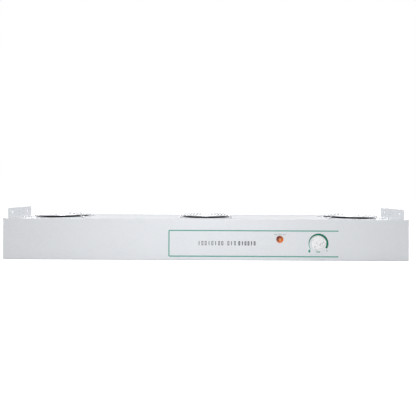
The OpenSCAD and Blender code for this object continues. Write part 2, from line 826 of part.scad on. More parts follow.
// Circuit board with its small parts
capacitor_d = 12;
capacitor_h = 18;
module control_board() {
    color([0.10, 0.42, 0.24]) difference() {
        translate([board_x - board_l / 2, -board_w / 2, board_z]) cube([board_l, board_w, board_t]);
        at_standoffs() translate([0, 0, board_z - 1]) cylinder(h = board_t + 2, d = board_screw_d);
    }
    color(black) for (k = [-1, 0, 1])
        translate([board_x - 30, 2 + k * (capacitor_d + 8), board_top - eps])
            cylinder(h = capacitor_h, d = capacitor_d);
    color([0.7, 0.5, 0.2]) translate([board_x - 16, 22, board_top - eps]) cube([26, 12, 15]);
    color(black) translate([board_x + 2, -2, board_top - eps]) cube([18, 8, 4]);
}
module board_standoffs() {
    color(brass) at_standoffs() translate([0, 0, sheet]) difference() {
        cylinder(h = standoff, r = 3.4, $fn = 6);
        translate([0, 0, -1]) cylinder(h = standoff + 2, d = board_screw_d);
    }
}
module board_screws() {
    color(zinc) at_standoffs() {
        translate([0, 0, board_top]) pan_screw(board_screw_d, board_t + 3);
        mirror([0, 0, 1]) flat_screw(board_screw_d, sheet + 3);
    }
}
// Terminal block: a row of clamps, each with a hole that takes a lead from above
clamps = 10;
clamp_pitch = 6;
clamp_d = 4.4;
clamp_floor = 6;
block_w = 12;
block_h = 14;
block_x = board_x + board_l / 2 - 20;
function clamp_y(k) = (k - (clamps - 1) / 2) * clamp_pitch;
module terminal_block() {
    color([0.2, 0.55, 0.3]) difference() {
        translate([block_x - block_w / 2, -clamps * clamp_pitch / 2 - 2, board_top])
            cube([block_w, clamps * clamp_pitch + 4, block_h]);
        for (k = [0:clamps - 1]) translate([block_x, clamp_y(k), board_top + clamp_floor])
            cylinder(h = block_h, d = clamp_d);
    }
}
module heat_sink() {
    fins = 6;
    sink_w = 26;
    sink_h = 28;
    fin_t = 1.6;
    color(zinc) translate([board_x + 24, -38, board_top]) {
        cube([3, sink_w, sink_h]);
        for (k = [0:fins - 1]) translate([3 - eps, k * (sink_w - fin_t) / (fins - 1), 0])
            cube([10, fin_t, sink_h]);
    }
}
module board_transformer() {
    color([0.3, 0.3, 0.32]) translate([board_x - 66, -20, board_top]) {
        cube([28 - eps, 38, 6]);
        translate([3, 3, 5.9]) cube([20, 32, 18]);
        translate([0, 7, 10]) cube([26, 24, 10]);
    }
}

// ---------------------------------------------------------------- speed control

bush_r = 4.7;
bush_h = 6;
pot_shaft_r = pot_shaft_d / 2;
pot_tags = 5;           // distance from one tag to the next
pot_tag_end = 19;       // how far the tags reach below the axis
module on_front(x, z) { translate([x, -half_d, z]) rotate([90, 0, 0]) children(); }

// Potentiometer behind the front cover: can, bush and three tags
module potentiometer() {
    color([0.45, 0.38, 0.28]) on_front(dial_x, dial_z) {
        difference() {
            union() {
                translate([0, 0, -sheet - 14]) cylinder(h = 14, r = 12);
                translate([0, 0, -sheet - 1]) cylinder(h = sheet + 1 + bush_h, r = bush_r);
                for (x = [-1, 0, 1]) translate([x * pot_tags - 1.5, -pot_tag_end, -sheet - 3])
                    cube([3, 10, 1]);
            }
            translate([0, 0, -sheet - 12]) cylinder(h = 30, r = pot_shaft_r + running);
        }
    }
}
module pot_nut() {
    color(zinc) on_front(dial_x, dial_z) hex_nut(13, 2.4, 2 * bush_r);
}
module pot_shaft() {
    color(zinc) on_front(dial_x, dial_z) translate([0, 0, -sheet - 11.5])
        cylinder(h = sheet + 11.5 + knob_h - 4, r = pot_shaft_r);
}

// Knob: a flat skirt with a bevelled edge, and a raised grip with waisted sides that points at
// the setting. Drawn with the pointer towards +X.
knob_gap = 0.6;
pointer_angle = 42;
module speed_knob() {
    knob_r = knob_d / 2;
    skirt_h = 4;
    color([0.92, 0.92, 0.93]) on_front(dial_x, dial_z) rotate(pointer_angle) difference() {
        union() {
            translate([0, 0, knob_gap]) rotate_extrude() polygon([[0, 0], [knob_r, 0],
                [knob_r, skirt_h - 2], [knob_r - 1.5, skirt_h], [knob_r * 0.62, skirt_h + 1],
                [0, skirt_h + 1]]);
            translate([0, 0, skirt_h]) linear_extrude(knob_h - skirt_h) grip_plan();
        }
        translate([0, 0, -1]) cylinder(h = 1 + bush_h + 0.6, r = 8.6);
        translate([0, 0, -1]) cylinder(h = knob_h - 3, r = pot_shaft_r);
        translate([knob_r * 0.30, -0.6, knob_h - 0.6]) cube([knob_r, 1.2, 2]);
    }
}
// Plan of the grip: a round middle and a bar with rounded ends
module grip_plan() {
    knob_r = knob_d / 2;
    bar_w = knob_r * 0.52;
    reach = knob_r * 0.58;
    circle(r = knob_r * 0.42);
    square([2 * reach, bar_w], center = true);
    for (x = [-1, 1]) translate([x * reach, 0]) circle(d = bar_w);
}

// ---------------------------------------------------------------- pilot lamp

lamp_body_r = 7;
lamp_tags = 7;          // distance between the tags
lamp_tail = 34;         // how far the tags reach behind the front
module lamp_holder() {
    color([0.25, 0.25, 0.26]) on_front(lamp_x, lamp_z) difference() {
        union() {
            translate([0, 0, -26]) cylinder(h = 26, r = lamp_body_r);
            for (x = [-1, 1]) translate([x * lamp_tags / 2 - 1, -0.4, -lamp_tail])
                cube([2, 0.8, 9]);
        }
        translate([0, 0, -18]) cylinder(h = 19, r = lamp_body_r - 1.5);
    }
}
module lamp_nut() {
    color(zinc) on_front(lamp_x, lamp_z) translate([0, 0, -sheet - 3])
        hex_nut(18, 3, 2 * lamp_body_r);
}
// Moulded lens: a stepped rim, a round groove and a domed middle
module lamp_lens() {
    r = lamp_d / 2;
    dome = 12;
    color([0.92, 0.36, 0.08]) on_front(lamp_x, lamp_z) {
        rotate_extrude() polygon([[0, 0], [r, 0], [r, 1.6], [r - 1, 2.6], [r - 2.6, 2.6],
            [r - 3.4, 1.8], [0, 1.8]]);
        intersection() {
            translate([0, 0, 6.2 - dome]) sphere(r = dome);
            translate([0, 0, 1.7]) cylinder(h = 6, r = r - 3.4);
        }
    }
}

// ---------------------------------------------------------------- mains inlet

inlet_body_w = 28;
inlet_plate_t = 2.4;
inlet_screw_d = 3;
inlet_screw_y = 20;
drawer_gap = 0.3;
drawer_depth = 24;
inlet_body_h = socket_h + drawer_h + 6;
inlet_depth = 26;
inlet_tag = 5;          // how far the tags stand out behind
socket_z = inlet_z + inlet_body_h / 2 - 2 - socket_h / 2;
drawer_z = inlet_z - inlet_body_h / 2 + 2 + drawer_h / 2;
inlet_face = half_l + inlet_plate_t;

// Section of the socket: a rectangle with its two upper corners cut
module socket_section() {
    cut = 4;
    polygon([[-socket_w / 2, -socket_h / 2], [socket_w / 2, -socket_h / 2],
        [socket_w / 2, socket_h / 2 - cut], [socket_w / 2 - cut, socket_h / 2],
        [-socket_w / 2 + cut, socket_h / 2], [-socket_w / 2, socket_h / 2 - cut]]);
}
module mains_inlet() {
    color(black) difference() {
        union() {
            translate([half_l, 0, inlet_z]) rotate([90, 0, 90]) linear_extrude(inlet_plate_t)
                union() {
                    square([inlet_body_w + 3, inlet_body_h + 4], center = true);
                    square([2 * inlet_screw_y, 14], center = true);
                    for (y = [-1, 1]) translate([y * inlet_screw_y, 0]) circle(r = 7);
                }
            translate([half_l - inlet_depth / 2 + eps, 0, inlet_z])
                cube([inlet_depth, inlet_body_w, inlet_body_h], center = true);
        }
        translate([inlet_face - socket_depth, 0, socket_z]) rotate([90, 0, 90])
            linear_extrude(socket_depth + 1) socket_section();
        translate([inlet_face - drawer_depth - drawer_gap, -drawer_w / 2 - drawer_gap,
            drawer_z - drawer_h / 2 - drawer_gap])
            cube([drawer_depth + 2, drawer_w + 2 * drawer_gap, drawer_h + 2 * drawer_gap]);
        for (y = [-1, 1]) translate([half_l - 1, y * inlet_screw_y, inlet_z]) rotate([0, 90, 0])
            cylinder(h = inlet_plate_t + 2, d = inlet_screw_d);
    }
    // The three blades, and the tags behind them
    color(zinc) for (place = [[-7, -2], [7, -2], [0, 2]])
        translate([half_l - inlet_depth - inlet_tag, place[0] - 1, socket_z + place[1] - 2])
            cube([inlet_depth + inlet_tag + inlet_plate_t - 5, 2, 4]);
}
module inlet_screws() {
    color(zinc) for (y = [-1, 1]) translate([inlet_face, y * inlet_screw_y, inlet_z])
        rotate([0, 90, 0]) pan_screw(inlet_screw_d, inlet_plate_t + end_plate + 3);
}

// Drawer that carries the fuse; it slides out of the inlet
fuse_d = 5;
fuse_l = 20;
module fuse_drawer() {
    color(black) translate([inlet_face - drawer_depth, 0, drawer_z]) difference() {
        union() {
            translate([0, -drawer_w / 2, -drawer_h / 2]) cube([drawer_depth, drawer_w, drawer_h]);
            translate([drawer_depth - eps, -drawer_w / 4, drawer_h / 2 - 2])
                cube([1.6, drawer_w / 2, 2]);
        }
        translate([1, -fuse_d / 2 - 0.5, -fuse_d / 2])
            cube([fuse_l + 1, fuse_d + 1, drawer_h]);
    }
}
module fuse() {
    color(chrome) translate([inlet_face - drawer_depth + 1.5, 0, drawer_z])
        rotate([0, 90, 0]) cylinder(h = fuse_l, d = fuse_d);
}

earth_y = 52;
earth_z = 30;
earth_d = 4;
earth_tail = 12;
module earth_terminal() {
    color(brass) translate([half_l, earth_y, earth_z]) rotate([0, 90, 0]) {
        translate([0, 0, -earth_tail]) cylinder(h = earth_tail + 10, d = earth_d - 2 * eps);
        hex_nut(7, 3.2, earth_d - 0.1);
        translate([0, 0, -end_plate - 3.2]) hex_nut(7, 3.2, earth_d - 0.1);
    }
}

// Leads: from the inlet to the board and the earth terminal, and from the board's clamps to the
// three motors, the lamp and the speed control
control_lead_d = 1.6;
rear_y = half_d - 6;                            // leads along the back, clear of the ducts
low_z = 32;
strut_z = frame_base + motor_lead_z;
tag_x = half_l - inlet_depth - inlet_tag;       // end of the inlet's tags

// Points from a clamp up to a height
function from_clamp(k, z) = [[block_x, clamp_y(k), board_top + clamp_floor],
    [block_x, clamp_y(k), z]];
// Points from outside a fan's frame, in beside a strut and up to the motor's winding
function to_motor(fan_x, side) = [for (p = [[frame_w / 2 + 6, motor_lead_z],
        [motor_r + 4, motor_lead_z], [motor_r + 4, motor_plate + 1.8],
        [stator_r - 9, motor_plate + 1.8], [stator_r - 9, stator_z - winding_h]])
    [fan_x + side * (p[0] - motor_lead_y) * cos(45), (p[0] + motor_lead_y) * cos(45),
        frame_base + p[1]]];

module mains_leads() {
    run_y = to_motor(0, 1)[0][1];
    live_z = socket_z - 2;
    over_z = inlet_z + inlet_body_h / 2 + 4;
    low_x = block_x + 5;
    color([0.25, 0.25, 0.27]) {
        // Live, neutral and earth from the inlet
        lead(concat([[tag_x, 7, live_z], [tag_x - 3, 7, live_z], [tag_x - 3, rear_y, live_z],
            [tag_x - 3, rear_y, low_z], [low_x, rear_y, low_z], [low_x, clamp_y(8), low_z],
            [block_x, clamp_y(8), low_z]], [from_clamp(8, low_z)[0]]), mains_lead_d);
        lead(concat([[tag_x, -7, live_z], [tag_x - 3.5, -7, live_z], [tag_x - 3.5, -7, over_z],
            [tag_x + 3, rear_y, over_z], [tag_x + 3, rear_y, low_z - 4],
            [low_x + 6, rear_y, low_z - 4], [low_x + 6, clamp_y(9), low_z - 4],
            [block_x, clamp_y(9), low_z - 4]], [from_clamp(9, low_z)[0]]), mains_lead_d);
        lead([[tag_x, 0, socket_z + 2], [tag_x - 3, 0, socket_z + 2],
            [tag_x - 3, earth_y, socket_z + 2], [tag_x + 11, earth_y, socket_z + 2],
            [tag_x + 11, earth_y, earth_z], [half_l - earth_tail, earth_y, earth_z]],
            mains_lead_d);
        // Left, centre and right motor
        lead(concat(from_clamp(5, strut_z + 8), [[board_x - board_l / 2 + 12, clamp_y(5), strut_z + 8],
            [board_x - board_l / 2 + 12, rear_y, strut_z + 8],
            [board_x - board_l / 2 + 12, rear_y, low_z + 6],
            [-fan_pitch + frame_l / 2 + 40, rear_y, low_z + 6],
            [-fan_pitch + frame_l / 2 + 40, run_y, strut_z]], to_motor(-fan_pitch, 1)), mains_lead_d);
        lead(concat(from_clamp(6, strut_z), [[board_x + 17, clamp_y(6), strut_z],
            [board_x + 17, run_y, strut_z]], to_motor(0, 1)), mains_lead_d);
        lead(concat(from_clamp(7, strut_z), [[fan_pitch - frame_l / 2 - 40, clamp_y(7), strut_z],
            [fan_pitch - frame_l / 2 - 40, run_y, strut_z]], to_motor(fan_pitch, -1)), mains_lead_d);
        // Pilot lamp
        for (k = [0, 1]) {
            x = lamp_x + (k - 0.5) * lamp_tags;
            y = -half_d + lamp_tail + 6;
            z = low_z + 4 + 4 * k;
            lead([[x, y - 6, lamp_z], [x, y, lamp_z], [x, y, z], [block_x, y, z],
                [block_x, clamp_y(k), z], from_clamp(k, z)[0]], control_lead_d);
        }
        // Speed control
        for (k = [0:2]) {
            x = dial_x + (k - 1) * pot_tags;
            y = -half_d + sheet + 2.5;
            z = low_z + 3 * k;
            lead([[x, y, dial_z - pot_tag_end], [x, y, dial_z - pot_tag_end - 5],
                [x, y + 16, dial_z - pot_tag_end - 5], [x, y + 16, z], [x, clamp_y(k + 2), z],
                [block_x, clamp_y(k + 2), z], from_clamp(k + 2, z)[0]], control_lead_d);
        }
    }
}

// ---------------------------------------------------------------- the object

top_panel();
front_cover();
rear_cover();
bottom_plate();
end_plate_left();
end_plate_right();
end_screws();
cover_screws();
bracket_left();
bracket_right();
bracket_screws();
inlet_guard_left();
inlet_guard_centre();
inlet_guard_right();
guard_screws();
guard_nuts();
fan_frame_left();
fan_frame_centre();
fan_frame_right();
fan_stator_left();
fan_stator_centre();
fan_stator_right();
fan_bearings();
impeller_left();
impeller_centre();
impeller_right();
fan_shaft_left();
fan_shaft_centre();
fan_shaft_right();
ion_duct_left();
ion_duct_centre();
ion_duct_right();
emitter_needles();
hv_ring_leads();
outlet_guard_left();
outlet_guard_centre();
outlet_guard_right();
duct_screws();
hv_supply();
hv_supply_screws();
hv_leads();
control_board();
board_standoffs();
board_screws();
terminal_block();
heat_sink();
board_transformer();
potentiometer();
pot_nut();
pot_shaft();
speed_knob();
lamp_holder();
lamp_nut();
lamp_lens();
mains_inlet();
inlet_screws();
fuse_drawer();
fuse();
earth_terminal();
mains_leads();
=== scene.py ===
import json
import math

import bmesh
import bpy
from mathutils import Matrix, Vector


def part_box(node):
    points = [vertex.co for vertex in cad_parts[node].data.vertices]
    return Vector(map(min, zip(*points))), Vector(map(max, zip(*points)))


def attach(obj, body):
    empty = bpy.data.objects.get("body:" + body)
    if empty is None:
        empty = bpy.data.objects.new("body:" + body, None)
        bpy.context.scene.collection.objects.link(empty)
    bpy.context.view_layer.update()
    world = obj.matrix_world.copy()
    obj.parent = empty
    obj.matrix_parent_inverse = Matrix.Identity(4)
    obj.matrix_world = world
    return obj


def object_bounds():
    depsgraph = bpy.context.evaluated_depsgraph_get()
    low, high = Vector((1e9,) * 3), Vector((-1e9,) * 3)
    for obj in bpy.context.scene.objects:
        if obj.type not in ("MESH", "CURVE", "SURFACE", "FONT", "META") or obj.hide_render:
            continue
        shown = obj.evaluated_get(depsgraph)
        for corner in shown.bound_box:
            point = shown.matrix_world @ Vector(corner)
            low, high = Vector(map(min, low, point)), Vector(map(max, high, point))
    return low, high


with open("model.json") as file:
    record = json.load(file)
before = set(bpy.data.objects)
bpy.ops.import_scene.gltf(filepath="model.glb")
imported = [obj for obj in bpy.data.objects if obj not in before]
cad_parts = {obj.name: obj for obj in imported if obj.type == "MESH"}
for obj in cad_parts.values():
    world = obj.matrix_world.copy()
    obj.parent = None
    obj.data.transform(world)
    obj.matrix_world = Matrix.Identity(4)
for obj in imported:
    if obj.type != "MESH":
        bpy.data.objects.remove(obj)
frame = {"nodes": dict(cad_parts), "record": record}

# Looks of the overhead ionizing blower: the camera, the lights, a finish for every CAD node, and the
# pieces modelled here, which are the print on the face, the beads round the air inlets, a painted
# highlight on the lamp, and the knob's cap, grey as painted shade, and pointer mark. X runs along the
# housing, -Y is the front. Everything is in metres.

scene = bpy.context.scene
scene.view_settings.view_transform = "Standard"


def middle(box):
    """Middle of a box given as its low and high corners."""
    low, high = box
    return (low + high) / 2


MM = 0.001
NODES = frame["nodes"]
cad_low, cad_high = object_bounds()
cover_low, cover_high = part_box("front_cover")
FRONT = cover_low.y                 # the plane of the housing's face
TOP = cover_high.z
DIAL = middle(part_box("speed_knob"))
LAMP = middle(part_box("lamp_lens"))

CAMERA_DISTANCE = 0.845             # from the camera to the face
CAMERA_HEIGHT = 0.0687              # from the top of the housing up to the camera
CAMERA_ROLL = 0.28                  # degrees
INK = 0.12 * MM                     # thickness of the silk-screen ink
OPENING_R = 73 * MM                 # radius of the openings in the top panel
POINTER_ANGLE = 42                  # where the knob points at rest, in degrees above +X
CORE_R = 0.05 * MM                  # hole left on the axis of a turned piece
WAVE_LENGTH = 0.314                 # of a wave texture at a scale of 1


# ---------------------------------------------------------------- camera and stage

def add_camera():
    """A wide lens close to the face, level, a little above the top and rolled very slightly."""
    data = bpy.data.cameras.new("camera")
    data.sensor_width = 36
    data.lens = 27.0
    data.shift_x = 0.0045
    data.shift_y = -0.0345
    camera = bpy.data.objects.new("camera", data)
    place = Vector((0, FRONT - CAMERA_DISTANCE, TOP + CAMERA_HEIGHT))
    camera.matrix_world = (Matrix.Translation(place) @ Matrix.Rotation(math.pi / 2, 4, "X")
                           @ Matrix.Rotation(math.radians(CAMERA_ROLL), 4, "Z"))
    scene.collection.objects.link(camera)
    scene.camera = camera


def seen_directly(tree):
    """1 where the camera, a mirror or a glass sees the surface, and 0 where it only lights others."""
    path = tree.nodes.new("ShaderNodeLightPath")
    seen = path.outputs["Is Camera Ray"]
    for ray in ("Is Glossy Ray", "Is Transmission Ray"):
        either = tree.nodes.new("ShaderNodeMath")
        either.operation = "MAXIMUM"
        tree.links.new(seen, either.inputs[0])
        tree.links.new(path.outputs[ray], either.inputs[1])
        seen = either.outputs[0]
    return seen


def add_world(level=0.34):
    """White behind everything, and an even light of the given level."""
    world = bpy.data.worlds.new("studio")
    world.use_nodes = True
    tree = world.node_tree
    background = tree.nodes["Background"]
    background.inputs["Color"].default_value = (1, 1, 1, 1)
    strength = tree.nodes.new("ShaderNodeMapRange")
    strength.inputs["To Min"].default_value = level
    strength.inputs["To Max"].default_value = 1.0
    tree.links.new(seen_directly(tree), strength.inputs["Value"])
    tree.links.new(strength.outputs["Result"], background.inputs["Strength"])
    scene.world = world


def add_floor(half=8, gap=0.4 * MM, glow=0.8):
    """Pale floor just under the object: nearly white to the eye, with the object's soft shadow."""
    mesh = bpy.data.meshes.new("floor")
    mesh.from_pydata([(-half, -half, 0), (half, -half, 0), (half, half, 0), (-half, half, 0)], [],
                     [(0, 1, 2, 3)])
    floor = bpy.data.objects.new("floor", mesh)
    floor.location.z = cad_low.z - gap
    scene.collection.objects.link(floor)
    material = bpy.data.materials.new("floor")
    material.use_nodes = True
    tree = material.node_tree
    shader = tree.nodes["Principled BSDF"]
    shader.inputs["Base Color"].default_value = (0.9, 0.9, 0.9, 1)
    shader.inputs["Roughness"].default_value = 0.9
    shader.inputs["Specular IOR Level"].default_value = 0.1
    shader.inputs["Emission Color"].default_value = (1, 1, 1, 1)
    strength = tree.nodes.new("ShaderNodeMath")
    strength.operation = "MULTIPLY"
    strength.inputs[1].default_value = glow
    tree.links.new(seen_directly(tree), strength.inputs[0])
    tree.links.new(strength.outputs[0], shader.inputs["Emission Strength"])
    mesh.materials.append(material)


def add_light(name, place, target, size, power):
    """Area light at a place, turned to a target, with its width and height and its watts."""
    data = bpy.data.lights.new(name, "AREA")
    data.shape = "RECTANGLE"
    data.size, data.size_y = size
    data.energy = power
    light = bpy.data.objects.new(name, data)
    light.location = place
    light.rotation_euler = (Vector(target) - Vector(place)).to_track_quat("-Z", "Y").to_euler()
    scene.collection.objects.link(light)


add_camera()
add_world()
add_floor()
add_light("front", (-0.02, -1.0, 0.45), (-0.02, -0.09, 0.06), (0.5, 0.4), 4.1)
add_light("above", (0, 0.1, 1.5), (0, 0, 0), (1.6, 0.8), 9.5)
for side in (-1, 1):
    add_light("side", (side * 1.2, 1.2, 0.5), (-side * 0.55, 0, 0.12), (0.6, 0.6), 6.5)


# ---------------------------------------------------------------- finishes

FINISHES = {}                       # each finish under its name


class Finish:
    """A Principled material with helpers that vary its colour, roughness and height."""

    def __init__(self, name, color, roughness, metallic=0.0, **sockets):
        self.material = bpy.data.materials.new(name)
        self.material.use_nodes = True
        self.tree = self.material.node_tree
        self.shader = self.tree.nodes["Principled BSDF"]
        self.place = self.tree.nodes.new("ShaderNodeTexCoord").outputs["Object"]
        self.color = tuple(color) + (1,)
        self.roughness = roughness
        self.shader.inputs["Base Color"].default_value = self.color
        self.shader.inputs["Roughness"].default_value = roughness
        self.shader.inputs["Metallic"].default_value = metallic
        for socket, value in sockets.items():
            self.shader.inputs[socket.replace("_", " ")].default_value = value
        FINISHES[name] = self

    def noise(self, size, detail=3.0, stretch=(1, 1, 1)):
        """Noise with features of about this size, 0 to 1."""
        mapping = self.tree.nodes.new("ShaderNodeMapping")
        mapping.inputs["Scale"].default_value = stretch
        self.tree.links.new(self.place, mapping.inputs["Vector"])
        noise = self.tree.nodes.new("ShaderNodeTexNoise")
        noise.inputs["Scale"].default_value = 1 / size
        noise.inputs["Detail"].default_value = detail
        self.tree.links.new(mapping.outputs["Vector"], noise.inputs["Vector"])
        return noise.outputs["Fac"]

    def cells(self, size):
        """Flat random value for each cell of this size."""
        cells = self.tree.nodes.new("ShaderNodeTexVoronoi")
        cells.inputs["Scale"].default_value = 1 / size
        self.tree.links.new(self.place, cells.inputs["Vector"])
        grey = self.tree.nodes.new("ShaderNodeRGBToBW")
        self.tree.links.new(cells.outputs["Color"], grey.inputs["Color"])
        return grey.outputs["Val"]

    def layers(self, thickness):
        """Light and dark layers in turn, each this thick."""
        wave = self.tree.nodes.new("ShaderNodeTexWave")
        wave.bands_direction = "Z"
        wave.inputs["Scale"].default_value = WAVE_LENGTH / (2 * thickness)
        self.tree.links.new(self.place, wave.inputs["Vector"])
        return wave.outputs["Fac"]

    def along(self, direction, start, end):
        """0 to 1 along a direction, between two distances from the origin."""
        dot = self.tree.nodes.new("ShaderNodeVectorMath")
        dot.operation = "DOT_PRODUCT"
        dot.inputs[1].default_value = direction
        self.tree.links.new(self.place, dot.inputs[0])
        return self.ramp(dot.outputs["Value"], 0, 1, start, end)

    def ramp(self, value, low, high, start=0.3, end=0.7):
        """Turns a value between start and end into a number between low and high."""
        ramp = self.tree.nodes.new("ShaderNodeMapRange")
        ramp.inputs["From Min"].default_value = start
        ramp.inputs["From Max"].default_value = end
        ramp.inputs["To Min"].default_value = low
        ramp.inputs["To Max"].default_value = high
        self.tree.links.new(value, ramp.inputs["Value"])
        return ramp.outputs["Result"]

    def tint(self, value, other, start=0.35, end=0.65):
        """Blends the base colour towards another one where the value is high."""
        mix = self.tree.nodes.new("ShaderNodeMix")
        mix.data_type = "RGBA"
        base = self.shader.inputs["Base Color"]
        if base.is_linked:
            self.tree.links.new(base.links[0].from_socket, mix.inputs["A"])
        else:
            mix.inputs["A"].default_value = self.color
        mix.inputs["B"].default_value = tuple(other) + (1,)
        self.tree.links.new(self.ramp(value, 0, 1, start, end), mix.inputs["Factor"])
        self.tree.links.new(mix.outputs["Result"], base)

    def rough(self, value, spread):
        """Varies the roughness by up to this spread either way."""
        self.tree.links.new(self.ramp(value, self.roughness - spread, self.roughness + spread),
                            self.shader.inputs["Roughness"])

    def bump(self, value, height, strength=1.0):
        """Raises the surface by up to this height."""
        bump = self.tree.nodes.new("ShaderNodeBump")
        bump.inputs["Strength"].default_value = strength
        bump.inputs["Distance"].default_value = height
        self.tree.links.new(value, bump.inputs["Height"])
        normal = self.shader.inputs["Normal"]
        if normal.is_linked:
            self.tree.links.new(normal.links[0].from_socket, bump.inputs["Normal"])
        self.tree.links.new(bump.outputs["Normal"], normal)

    def soft_edges(self, radius):
        """Rounds sharp edges in the shading, as paint or a mould does."""
        bevel = self.tree.nodes.new("ShaderNodeBevel")
        bevel.samples = 4
        bevel.inputs["Radius"].default_value = radius
        self.tree.links.new(bevel.outputs["Normal"], self.shader.inputs["Normal"])


def shade(color, factor):
    """The colour made darker or lighter by a factor."""
    return tuple(min(1.0, c * factor) for c in color)


def enamel(name, color, shade_low=0.6 * MM, shade_high=2.4 * MM):
    """White paint with slight unevenness, and painted shade along the bottom edge between two
    heights.
    """
    finish = Finish(name, color, 0.42, Coat_Weight=0.15, Coat_Roughness=0.3)
    finish.soft_edges(0.5 * MM)
    finish.tint(finish.noise(0.11, 2), shade(color, 0.975))
    finish.tint(finish.noise(0.004, 2), shade(color, 1.012))
    # painted shade: the bottom bend darkened where the floor's contact shadow falls
    finish.tint(finish.along((0, 0, -1), -shade_high, -shade_low), shade(color, 0.72), 0, 1)
    finish.rough(finish.noise(0.02), 0.05)
    finish.bump(finish.noise(0.0016, 1), 0.03 * MM, 0.5)


def metal(name, color, roughness, grain, stretch=(1, 1, 1), darker=0.8, spread=0.06):
    """Bare or plated metal with a grain of this size, which stretch can squeeze along an axis."""
    finish = Finish(name, color, roughness, 1.0)
    finish.tint(finish.noise(grain * 6, 3, stretch), shade(color, darker))
    finish.rough(finish.noise(grain, 4, stretch), spread)
    finish.bump(finish.noise(grain, 4, stretch), 0.01 * MM, 0.4)


def plastic(name, color, roughness, grain=0.6 * MM, height=0.02 * MM, other=1.25, edge=0.3 * MM,
            **sockets):
    """Moulded plastic with a fine grain, soft edges and broad patches of a slightly other shade."""
    finish = Finish(name, color, roughness, **sockets)
    finish.soft_edges(edge)
    finish.tint(finish.noise(0.03, 2), shade(color, other))
    finish.rough(finish.noise(0.008), 0.05)
    finish.bump(finish.noise(grain, 2), height, 0.6)


def laminations(name, sheet=0.5 * MM):
    """Edges of stacked steel sheets."""
    finish = Finish(name, (0.30, 0.29, 0.28), 0.4, 0.9)
    finish.tint(finish.layers(sheet), (0.12, 0.11, 0.10))
    finish.rough(finish.noise(0.002), 0.08)
    finish.bump(finish.layers(sheet), 0.05 * MM)


def board(name, patch=0.006):
    """Solder mask with patches of copper under it."""
    finish = Finish(name, (0.015, 0.10, 0.045), 0.32, Coat_Weight=0.3)
    finish.tint(finish.cells(patch), (0.03, 0.17, 0.08), 0.45, 0.5)
    finish.bump(finish.cells(patch), 0.03 * MM)


def lens(name):
    """Clear orange plastic, with painted shade above on the left and painted light below on the
    right.
    """
    low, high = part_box("lamp_lens")
    direction = Vector((1, 0, -1))
    centre = LAMP.dot(direction)
    reach = (high.x - low.x) / 2
    finish = Finish(name, (0.22, 0.02, 0.0), 0.12, Transmission_Weight=0.15, IOR=1.49)
    # painted shade at the upper left of the dome, turning into painted light at the lower right
    finish.tint(finish.along(direction, centre - reach, centre + reach), (1.0, 0.22, 0.01), 0, 1)
    finish.rough(finish.noise(0.002), 0.04)


def glass(name):
    """Clear glass, such as the fuse's tube."""
    finish = Finish(name, (0.85, 0.9, 0.9), 0.05, Transmission_Weight=0.9, IOR=1.5)
    finish.tint(finish.noise(0.004), (0.7, 0.75, 0.75))
    finish.rough(finish.noise(0.002), 0.03)


def even_ink(name, color):
    """Nearly matt ink of one colour."""
    finish = Finish(name, color, 0.45, Specular_IOR_Level=0.2)
    finish.rough(finish.noise(0.003), 0.05)
    finish.bump(finish.noise(0.0008), 0.01 * MM, 0.4)
    return finish


def ink(name, color):
    """Ink that is a little uneven in colour."""
    finish = even_ink(name, color)
    finish.tint(finish.noise(0.006), shade(color, 0.9))


def dial_ink(name, color, other):
    """Ink of the scale round the knob: its colour at the lower left changes into the other one."""
    direction = Vector((0.9, 0, 1))
    centre = DIAL.dot(direction)
    finish = even_ink(name, color)
    finish.tint(finish.along(direction, centre - 34 * MM, centre - 8 * MM), other, 0, 1)


# for the slots of the record
enamel("white_enamel", (0.765, 0.785, 0.815))
metal("chrome_wire", (0.72, 0.73, 0.75), 0.16, 0.002, darker=0.9)
metal("zinc_plate", (0.60, 0.61, 0.63), 0.3, 0.001, darker=0.85)
plastic("black_casting", (0.012, 0.012, 0.013), 0.5, 0.9 * MM, 0.05 * MM)
laminations("steel_laminations")
plastic("black_impeller", (0.016, 0.016, 0.017), 0.42)
plastic("duct_plastic", (0.66, 0.66, 0.61), 0.45, other=0.94)
metal("needle_steel", (0.62, 0.63, 0.65), 0.14, 0.0006, darker=0.9)
plastic("red_silicone", (0.42, 0.012, 0.009), 0.5, other=0.85)
plastic("potting_black", (0.014, 0.014, 0.015), 0.35)
board("board_green")
metal("brass", (0.62, 0.42, 0.14), 0.24, 0.001, darker=0.82)
plastic("terminal_green", (0.02, 0.19, 0.06), 0.4)
metal("aluminium_sink", (0.62, 0.63, 0.64), 0.34, 0.0008, (1, 12, 1))
plastic("transformer_grey", (0.06, 0.06, 0.062), 0.55)
metal("pot_can", (0.40, 0.32, 0.20), 0.32, 0.001)
plastic("knob_white", (0.90, 0.90, 0.91), 0.3, other=0.97, edge=0.6 * MM, Coat_Weight=0.2)
plastic("lamp_black", (0.03, 0.03, 0.032), 0.4)
lens("lamp_orange")
plastic("inlet_black", (0.014, 0.014, 0.015), 0.42)
glass("fuse_glass")
plastic("lead_grey", (0.06, 0.06, 0.065), 0.5)

# for the pieces modelled here
ink("ink_teal", (0.12, 0.40, 0.33))
ink("ink_mid", (0.02, 0.26, 0.16))
ink("ink_pale", (0.28, 0.50, 0.42))
ink("ink_dark", (0.025, 0.022, 0.035))
ink("ink_grey", (0.30, 0.36, 0.35))
dial_ink("ink_dial", (0.15, 0.47, 0.39), (0.0, 0.155, 0.090))
# painted highlight on the lamp's lens
plastic("lamp_highlight", (0.95, 0.50, 0.24), 0.2, other=0.9)
# painted shade: grey cap standing for the shading on the knob's grip
metal("knob_cap_shade", (0.52, 0.51, 0.54), 0.42, 0.0008)


def dress(obj, name):
    """Puts a finish on a CAD node or a piece."""
    obj.data.materials.clear()
    obj.data.materials.append(FINISHES[name].material)


for part in frame["record"]["subparts"]:
    dress(NODES[part["node"]], part["material_slot"])


